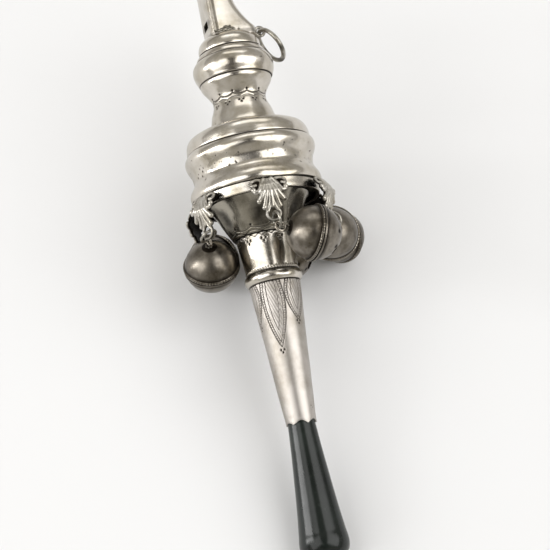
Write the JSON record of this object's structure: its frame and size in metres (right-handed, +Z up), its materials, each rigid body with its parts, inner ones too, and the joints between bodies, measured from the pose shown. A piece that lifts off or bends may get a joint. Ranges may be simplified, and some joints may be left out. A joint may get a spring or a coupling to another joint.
{
  "type": "baby rattle",
  "caption": "Whistle-and-bells baby rattle: silver whistle on a turned knop and drum, leaf brackets with jingle bells, tapering ferrule and stone teething handle, lying on its side.",
  "frame": {"origin": "middle of the bounding box on the surface that the rattle lies on", "axes": "+Z up, +Y along the rattle towards the whistle, +X to the side that the suspension ring hangs on"},
  "size_m": [0.0406, 0.1284, 0.0372],
  "materials": {
    "silver": "worn polished sheet silver, warm grey, fine scratches and tarnish in the seams",
    "cast_silver": "cast silver leaves, bright on the ribs and dark in the hollows",
    "dark_silver": "tarnished silver that hands don't reach",
    "bell_silver": "tarnished silver with brown and olive bloom",
    "ring_wire": "drawn silver wire, worn where it rubs",
    "pea_metal": "small iron ball",
    "stone": "polished dark green hardstone",
    "cement": "old resin cement"
  },
  "bodies": {
    "rattle": {"whistle_mouthpiece": "silver", "whistle_block": "dark_silver", "whistle_cap": "silver", "upper_bulb": "silver", "flared_neck": "silver", "drum_shoulder": "silver", "drum_body": "silver", "drum_bezel": "silver", "drum_floor": "dark_silver", "neck_cone": "dark_silver", "stem_collar": "silver", "stem_bead": "silver", "handle_ferrule": "silver", "handle_cement": "cement", "stone_handle": "stone", "suspension_eye": "silver", "bracket_1": "cast_silver", "bracket_2": "cast_silver", "bracket_3": "cast_silver", "bracket_4": "cast_silver", "bracket_5": "cast_silver", "bracket_6": "cast_silver"},
    "suspension_ring": {"suspension_ring": "silver"},
    "jump_ring_1": {"jump_ring_1": "ring_wire"},
    "bell_1": {"bell_1_loop": "bell_silver", "bell_1_dome": "bell_silver", "bell_1_bowl": "bell_silver"},
    "pea_1": {"bell_1_pea": "pea_metal"},
    "jump_ring_2": {"jump_ring_2": "ring_wire"},
    "bell_2": {"bell_2_loop": "bell_silver", "bell_2_dome": "bell_silver", "bell_2_bowl": "bell_silver"},
    "pea_2": {"bell_2_pea": "pea_metal"},
    "jump_ring_3": {"jump_ring_3": "ring_wire"},
    "bell_3": {"bell_3_loop": "bell_silver", "bell_3_dome": "bell_silver", "bell_3_bowl": "bell_silver"},
    "pea_3": {"bell_3_pea": "pea_metal"},
    "jump_ring_4": {"jump_ring_4": "ring_wire"},
    "bell_4": {"bell_4_loop": "bell_silver", "bell_4_dome": "bell_silver", "bell_4_bowl": "bell_silver"},
    "pea_4": {"bell_4_pea": "pea_metal"},
    "jump_ring_5": {"jump_ring_5": "ring_wire"},
    "bell_5": {"bell_5_loop": "bell_silver", "bell_5_dome": "bell_silver", "bell_5_bowl": "bell_silver"},
    "pea_5": {"bell_5_pea": "pea_metal"},
    "jump_ring_6": {"jump_ring_6": "ring_wire"},
    "bell_6": {"bell_6_loop": "bell_silver", "bell_6_dome": "bell_silver", "bell_6_bowl": "bell_silver"},
    "pea_6": {"bell_6_pea": "pea_metal"}
  },
  "joints": [
    {"name": "suspension_ring_swing", "type": "hinge", "parent": "rattle", "child": "suspension_ring", "pos_m": [0.00512, 0.04793, 0.0277], "axis": [0.2541, -0.1747, 0.9513], "range_deg": [-10, 165]},
    {"name": "jump_ring_1_swing", "type": "hinge", "parent": "rattle", "child": "jump_ring_1", "pos_m": [-0.01409, 0.00284, 0.02781], "axis": [0.3698, -0.9252, 0.0856], "range_deg": [-60, 0]},
    {"name": "bell_1_swing", "type": "hinge", "parent": "jump_ring_1", "child": "bell_1", "pos_m": [-0.01423, 0.00247, 0.02443], "axis": [0.3678, -0.8632, 0.346], "range_deg": [-25, 0]},
    {"name": "pea_1_rattle", "type": "slide", "parent": "bell_1", "child": "pea_1", "axis": [0, 0, 1], "range_m": [0, 0.0066]},
    {"name": "jump_ring_2_swing", "type": "hinge", "parent": "rattle", "child": "jump_ring_2", "pos_m": [-0.00066, 0.00152, 0.03378], "axis": [0.2193, 0.1799, 0.9589], "range_deg": [-90, 15]},
    {"name": "bell_2_swing", "type": "hinge", "parent": "jump_ring_2", "child": "bell_2", "pos_m": [0.00006, -0.00177, 0.03423], "axis": [0.1158, 0.9711, -0.2087], "range_deg": [-50, 25]},
    {"name": "pea_2_rattle", "type": "slide", "parent": "bell_2", "child": "pea_2", "axis": [0, 0, 1], "range_m": [0, 0.0066]},
    {"name": "jump_ring_3_swing", "type": "hinge", "parent": "rattle", "child": "jump_ring_3", "pos_m": [0.01134, 0.00337, 0.02541], "axis": [0.9417, 0.1572, 0.2975], "range_deg": [-40, 0]},
    {"name": "bell_3_swing", "type": "hinge", "parent": "jump_ring_3", "child": "bell_3", "pos_m": [0.01217, 0.00022, 0.02445], "axis": [-0.2504, 0.918, 0.3076], "range_deg": [-50, 0]},
    {"name": "pea_3_rattle", "type": "slide", "parent": "bell_3", "child": "pea_3", "axis": [0, 0, 1], "range_m": [0, 0.0066]},
    {"name": "jump_ring_4_swing", "type": "hinge", "parent": "rattle", "child": "jump_ring_4", "pos_m": [0.00993, 0.00655, 0.01108], "axis": [0.9738, -0.1044, 0.202], "range_deg": [-10, 10]},
    {"name": "bell_4_swing", "type": "hinge", "parent": "jump_ring_4", "child": "bell_4", "pos_m": [0.00969, 0.00321, 0.01052], "axis": [0.7425, -0.3744, 0.5554], "range_deg": [-35, 0]},
    {"name": "pea_4_rattle", "type": "slide", "parent": "bell_4", "child": "pea_4", "axis": [0, 0, 1], "range_m": [0, 0.0066]},
    {"name": "jump_ring_5_swing", "type": "hinge", "parent": "rattle", "child": "jump_ring_5", "pos_m": [-0.00349, 0.00787, 0.00511], "axis": [-0.0321, 0.6106, -0.7913], "range_deg": [0, 35]},
    {"name": "bell_5_swing", "type": "hinge", "parent": "jump_ring_5", "child": "bell_5", "pos_m": [-0.00347, 0.00518, 0.00303], "axis": [0.4934, 0.6311, -0.5986], "range_deg": [0, 55]},
    {"name": "pea_5_rattle", "type": "slide", "parent": "bell_5", "child": "pea_5", "axis": [0, 0, 1], "range_m": [0, 0.0066]},
    {"name": "jump_ring_6_swing", "type": "hinge", "parent": "rattle", "child": "jump_ring_6", "pos_m": [-0.0155, 0.00602, 0.01347], "axis": [-0.933, 0.359, -0.0247], "range_deg": [-8, 0]},
    {"name": "bell_6_swing", "type": "hinge", "parent": "jump_ring_6", "child": "bell_6", "pos_m": [-0.01659, 0.00309, 0.01213], "axis": [-0.8338, 0.4851, -0.2634], "range_deg": [0, 35]},
    {"name": "pea_6_rattle", "type": "slide", "parent": "bell_6", "child": "pea_6", "axis": [0, 0, 1], "range_m": [0, 0.0066]}
  ]
}
